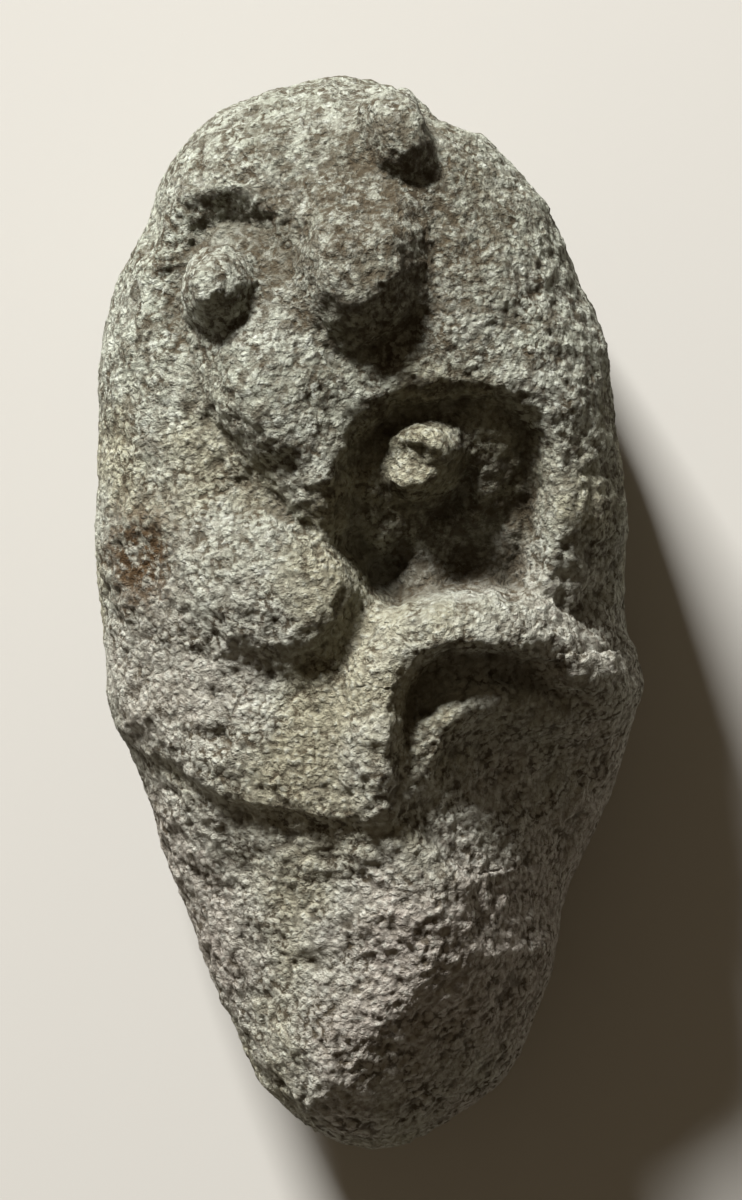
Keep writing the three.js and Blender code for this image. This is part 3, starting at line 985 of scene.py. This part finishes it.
@dataclass
class StoneFigure:
    """The carved stone: boulder, carving and peck marks as one closed mesh."""

    boulder: Boulder = field(default_factory=Boulder)
    carving: Carving = field(default_factory=Carving)
    marks: PeckMarks = field(default_factory=PeckMarks)
    finish: PeckedStone = field(default_factory=PeckedStone)
    boulder_wave: Wave = Wave(1.4, 17, 21, 31, 37, 1.5)
    face_fade: Point2 = (-0.1, 0.3)
    peck_fade: Point2 = (-0.2, 0.45)
    edge_wear: float = 1.3
    shelter_spread: float = 9.0
    shelter_depth: float = 7.0
    rows: int = 560
    front_columns: int = 330
    back_columns: int = 90
    flank_weight: float = 0.8
    fine_steps: int = 4000
    end_shares: Point2 = (0.0, 0.5)
    centre: Point2 = (1.1212, 0.2698)
    rest_band: float = 5.0
    back_share: float = 0.4
    most_triangles: int = 197000

    def row_places(self) -> Array:
        """Spread the rows evenly along the stone's edges.

        Returns:
            Places from the head to the foot, without the two ends.
        """
        fine = np.linspace(0, 1, self.fine_steps + 1)
        left, right = self.boulder.edges(fine)
        steps = sum(np.linalg.norm(np.diff(edge, axis=0), axis=1) for edge in (left, right))
        length = np.concatenate([[0], np.cumsum(steps)])
        return np.interp(np.linspace(0, length[-1], self.rows + 1)[1:-1], length, fine)

    def column_turns(self) -> Array:
        """Spread the columns evenly over the middle section's front and back.

        Returns:
            Turns, from the left edge over the front and round the back.
        """
        halves = []
        for start, count in ((0.0, self.front_columns), (0.5, self.back_columns)):
            fine = np.linspace(start, start + 0.5, self.fine_steps // 2 + 1)
            points = self.boulder.points(fine, np.full(fine.shape, 0.5))
            steps = np.diff(points, axis=0) * (1, 1, self.flank_weight)
            length = np.concatenate([[0], np.cumsum(np.linalg.norm(steps, axis=1))])
            halves.append(np.interp(np.linspace(0, length[-1], count, endpoint=False), length, fine))
        return np.concatenate(halves)

    def carved(self) -> tuple[Array, Array, Array]:
        """Carve the boulder.

        Returns:
            The points by row and column, how sheltered each is, and how strongly each is pecked.
        """
        turn, place = np.meshgrid(self.column_turns(), self.row_places())
        points = self.boulder.points(turn, place)
        normals = self.boulder.normals(turn, place)
        facing = smooth(*self.face_fade, normals[..., 2])
        cut = self.carving.field()
        worn = cut.softened(self.edge_wear)
        x, y = points[..., 0], points[..., 1]
        height = worn.sample(x, y)
        # How far each point lies below its softened surroundings; the stone's colour paints shade and soil
        # from it.
        shelter = (cut.softened(self.shelter_spread).sample(x, y) - height) / self.shelter_depth * facing
        uneven = self.boulder_wave.height(x, y)
        points = points + normals * (height * facing + uneven)[..., None]
        points[..., 2] = np.maximum(points[..., 2], 0)
        share = self.back_share + (1 - self.back_share) * smooth(*self.peck_fade, normals[..., 2])
        share = share * smooth(0, self.rest_band, points[..., 2])
        return points, np.clip(shelter, 0, 1), share

    def raw_mesh(self) -> bpy.types.Mesh:
        """Join the carved points into a closed mesh.

        Returns:
            The mesh, with its attributes, in metres.
        """
        points, shelter, share = self.carved()
        rows, columns = points.shape[:2]
        boulder = self.boulder
        ends = np.array([(*boulder.head_end, boulder.rim_height), (*boulder.foot_end, boulder.rim_height)])
        corners = np.concatenate([points.reshape(-1, 3), ends])
        corners[:, :2] -= self.centre
        number = np.arange(rows * columns).reshape(rows, columns)
        beside = np.roll(number, -1, axis=1)
        quads = np.stack([number[:-1], number[1:], beside[1:], beside[:-1]], axis=-1).reshape(-1, 4)
        head, foot = rows * columns, rows * columns + 1
        caps = [(head, int(a), int(b)) for a, b in zip(number[0], beside[0])]
        caps += [(foot, int(b), int(a)) for a, b in zip(number[-1], beside[-1])]
        mesh = bpy.data.meshes.new("stone")
        mesh.from_pydata((corners * MM).tolist(), [], quads.tolist() + caps)
        for name, values in (("shelter", shelter), ("peck_share", share)):
            layer = mesh.attributes.new(name, "FLOAT", "POINT")
            layer.data.foreach_set("value", np.append(values.ravel(), self.end_shares).astype(np.float32))
        mesh.polygons.foreach_set("use_smooth", np.ones(len(mesh.polygons), dtype=bool))
        mesh.update()
        return mesh

    def build(self) -> bpy.types.Object:
        """Carve, peck and thin the stone.

        Returns:
            The finished piece, a plain mesh at the origin.
        """
        raw = bpy.data.objects.new("stone_raw", self.raw_mesh())
        bpy.context.scene.collection.objects.link(raw)
        self.marks.apply(raw, self.finish.material())
        thin = raw.modifiers.new("thin", "DECIMATE")
        thin.ratio = self.most_triangles / (2 * self.rows * (self.front_columns + self.back_columns))
        graph = bpy.context.evaluated_depsgraph_get()
        mesh = bpy.data.meshes.new_from_object(raw.evaluated_get(graph), depsgraph=graph)
        mesh.name = "carved_stone"
        bpy.data.objects.remove(raw)
        stone = bpy.data.objects.new("carved_stone", mesh)
        bpy.context.scene.collection.objects.link(stone)
        return stone

    def dress(self, stone: bpy.types.Object) -> None:
        """Tie the piece to the frame.

        Args:
            stone: the finished piece.
        """
        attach(stone, "root")
        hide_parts("stone_figure")


@dataclass
class Studio:
    """A pale floor, one raking key light with a weak fill, and the camera straight above the face."""

    floor_half: float = 30.0
    camera_x: float = 1.179
    camera_y: float = 5.03
    camera_height: float = 2500.0
    rim_height: float = 66.0
    scale_at_rim: float = 0.421
    image_height: int = 1200
    sensor: float = 36.0
    key_azimuth: float = 114.0
    key_elevation: float = 30.0
    key_distance: float = 8.0
    key_size: float = 1.7
    key_power: float = 1850.0
    aim_height: float = 0.08
    fill_strength: float = 0.115
    floor_paint: FloorPaint = field(default_factory=FloorPaint)

    def floor(self) -> bpy.types.Object:
        """Lay the floor.

        Returns:
            The floor.
        """
        half = self.floor_half
        mesh = bpy.data.meshes.new("studio_floor")
        corners = [(-half, -half, 0), (half, -half, 0), (half, half, 0), (-half, half, 0)]
        mesh.from_pydata(corners, [], [(0, 1, 2, 3)])
        mesh.materials.append(self.floor_paint.material())
        floor = bpy.data.objects.new("studio_floor", mesh)
        bpy.context.scene.collection.objects.link(floor)
        return floor

    def key_light(self) -> bpy.types.Object:
        """Hang the key light to the upper left of the face.

        Returns:
            The light.
        """
        azimuth, elevation = math.radians(self.key_azimuth), math.radians(self.key_elevation)
        away = Vector(
            (
                math.cos(elevation) * math.cos(azimuth),
                math.cos(elevation) * math.sin(azimuth),
                math.sin(elevation),
            )
        )
        data = bpy.data.lights.new("key_light", "AREA")
        data.size = self.key_size
        data.energy = self.key_power
        light = bpy.data.objects.new("key_light", data)
        light.location = away * self.key_distance
        aim = Vector((0, 0, self.aim_height)) - light.location
        light.rotation_euler = aim.to_track_quat("-Z", "Y").to_euler()
        light.visible_camera = False
        bpy.context.scene.collection.objects.link(light)
        return light

    def fill(self) -> None:
        """Give the room a weak even light."""
        world = bpy.data.worlds.new("studio_room")
        world.use_nodes = True
        background = world.node_tree.nodes["Background"]
        background.inputs["Color"].default_value = linear(Tint.ROOM_LIGHT.value)
        background.inputs["Strength"].default_value = self.fill_strength
        bpy.context.scene.world = world

    def camera(self) -> bpy.types.Object:
        """Set the camera straight above the face, the head up in the picture.

        Returns:
            The camera.
        """
        data = bpy.data.cameras.new("camera")
        data.sensor_width = self.sensor
        field_height = self.image_height * self.scale_at_rim
        data.lens = self.sensor * (self.camera_height - self.rim_height) / field_height
        camera = bpy.data.objects.new("camera", data)
        camera.location = (self.camera_x * MM, self.camera_y * MM, self.camera_height * MM)
        bpy.context.scene.collection.objects.link(camera)
        bpy.context.scene.camera = camera
        bpy.context.scene.view_settings.view_transform = "Standard"
        return camera


def main() -> None:
    """Build the stone and the studio, and report each piece."""
    logging.basicConfig(level=logging.INFO, format="%(name)s: %(message)s")
    figure = StoneFigure()
    stone = figure.build()
    figure.dress(stone)
    LOG.info("%s: %d triangles", stone.name, sum(len(face.vertices) - 2 for face in stone.data.polygons))
    studio = Studio()
    for piece in (studio.floor(), studio.key_light(), studio.camera()):
        LOG.info("%s placed", piece.name)
    studio.fill()


if __name__ == "__main__":
    main()
